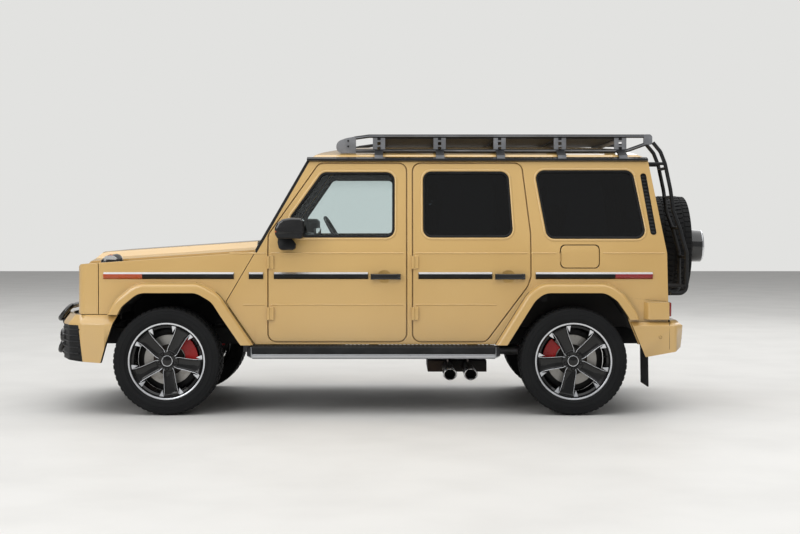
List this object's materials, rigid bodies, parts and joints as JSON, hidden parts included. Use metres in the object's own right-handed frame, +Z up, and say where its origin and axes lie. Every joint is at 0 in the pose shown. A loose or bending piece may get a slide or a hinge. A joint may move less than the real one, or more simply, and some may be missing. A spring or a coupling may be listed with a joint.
{
  "type": "off-road vehicle",
  "caption": "Boxy lifted off-road 4x4 with side-hung doors, opening bonnet, rear door with spare wheel and ladder, roof rack, bull bar and steering road wheels.",
  "frame": {"origin": "on the floor under the centre of the whole vehicle's box, wheels standing on the floor", "axes": "+X to the tail along the vehicle, +Y to the vehicle's right side, +Z up"},
  "size_m": [4.8999, 2.186, 2.0129],
  "materials": {
    "paint": "gloss",
    "black_frame": "satin",
    "black_gloss": "gloss",
    "black_plastic": "matt",
    "rack_black": "satin",
    "tyre": "matt",
    "rim": "gloss",
    "glass": "gloss",
    "lamp": "gloss",
    "caliper": "gloss",
    "iron": "satin",
    "engine": "satin",
    "steel": "satin",
    "dash": "matt",
    "leather": "satin",
    "rubber": "matt"
  },
  "bodies": {
    "chassis": {"ladder_frame": "black_frame", "body_tub": "black_frame", "body_side_left": "paint", "body_side_right": "paint", "roof_panel": "paint", "drip_rails": "black_gloss", "fixed_glass": "glass", "front_fenders": "paint", "front_panel": "paint", "grille": "black_gloss", "lamps": "lamp", "bumpers": "paint", "bull_bar": "black_gloss", "side_steps": "black_plastic", "mud_flaps": "rubber", "roof_rack": "rack_black", "front_suspension": "iron", "rear_axle": "iron", "power_unit": "engine", "exhaust": "steel", "dashboard": "dash", "seats": "leather"},
    "knuckle_left": {"knuckle_left": "caliper"},
    "knuckle_right": {"knuckle_right": "caliper"},
    "wheel_front_left": {"tyre_front_left": "tyre", "rim_front_left": "rim"},
    "wheel_front_right": {"tyre_front_right": "tyre", "rim_front_right": "rim"},
    "wheel_rear_left": {"tyre_rear_left": "tyre", "rim_rear_left": "rim"},
    "wheel_rear_right": {"tyre_rear_right": "tyre", "rim_rear_right": "rim"},
    "door_front_left": {"door_front_left": "paint", "glass_front_left": "glass", "mirror_left": "black_gloss"},
    "door_rear_left": {"door_rear_left": "paint", "glass_rear_left": "glass"},
    "door_front_right": {"door_front_right": "paint", "glass_front_right": "glass", "mirror_right": "black_gloss"},
    "door_rear_right": {"door_rear_right": "paint", "glass_rear_right": "glass"},
    "rear_door": {"rear_door": "paint", "rear_door_glass": "glass", "spare_tyre": "tyre", "spare_cover": "black_gloss", "ladder": "rack_black"},
    "bonnet": {"bonnet": "paint"},
    "fuel_flap": {"fuel_flap": "paint"},
    "steering_wheel": {"steering_wheel": "leather"}
  },
  "joints": [
    {"name": "steer_left", "type": "hinge", "parent": "chassis", "child": "knuckle_left", "pos_m": [-1.542, -0.742, 0.384], "axis": [0, 0, 1], "range_deg": [-32, 32]},
    {"name": "steer_right", "type": "hinge", "parent": "chassis", "child": "knuckle_right", "pos_m": [-1.542, 0.742, 0.384], "axis": [0, 0, 1], "range_deg": [-32, 32]},
    {"name": "spin_front_left", "type": "hinge", "parent": "knuckle_left", "child": "wheel_front_left", "pos_m": [-1.542, -0.822, 0.384], "axis": [0, 1, 0], "continuous": true},
    {"name": "spin_rear_left", "type": "hinge", "parent": "chassis", "child": "wheel_rear_left", "pos_m": [1.348, -0.822, 0.384], "axis": [0, 1, 0], "continuous": true},
    {"name": "spin_front_right", "type": "hinge", "parent": "knuckle_right", "child": "wheel_front_right", "pos_m": [-1.542, 0.822, 0.384], "axis": [0, 1, 0], "continuous": true},
    {"name": "spin_rear_right", "type": "hinge", "parent": "chassis", "child": "wheel_rear_right", "pos_m": [1.348, 0.822, 0.384], "axis": [0, 1, 0], "continuous": true},
    {"name": "door_front_left_hinge", "type": "hinge", "parent": "chassis", "child": "door_front_left", "pos_m": [-0.821, -0.917, 0.9], "axis": [0, 0, 1], "range_deg": [-66, 0]},
    {"name": "door_rear_left_hinge", "type": "hinge", "parent": "chassis", "child": "door_rear_left", "pos_m": [0.209, -0.917, 0.9], "axis": [0, 0, 1], "range_deg": [-70, 0]},
    {"name": "door_front_right_hinge", "type": "hinge", "parent": "chassis", "child": "door_front_right", "pos_m": [-0.821, 0.917, 0.9], "axis": [0, 0, 1], "range_deg": [0, 66]},
    {"name": "door_rear_right_hinge", "type": "hinge", "parent": "chassis", "child": "door_rear_right", "pos_m": [0.209, 0.917, 0.9], "axis": [0, 0, 1], "range_deg": [0, 70]},
    {"name": "rear_door_hinge", "type": "hinge", "parent": "chassis", "child": "rear_door", "pos_m": [2.04, 0.742, 1.1], "axis": [0, 0, 1], "range_deg": [0, 90]},
    {"name": "bonnet_hinge", "type": "hinge", "parent": "chassis", "child": "bonnet", "pos_m": [-0.93, 0, 1.236], "axis": [0, 1, 0], "range_deg": [0, 60]},
    {"name": "fuel_flap_hinge", "type": "hinge", "parent": "chassis", "child": "fuel_flap", "pos_m": [1.26026, -0.905, 1.127], "axis": [0, 0, 1], "range_deg": [-95, 0]},
    {"name": "steering_wheel_turn", "type": "hinge", "parent": "chassis", "child": "steering_wheel", "pos_m": [-0.348, -0.37, 1.24], "axis": [0.866, 0, 0.5], "range_deg": [-448, 448]}
  ],
  "couplings": [
    {"joint": "steer_right", "follows": "steer_left", "ratio": 1},
    {"joint": "steering_wheel_turn", "follows": "steer_left", "ratio": 14}
  ]
}
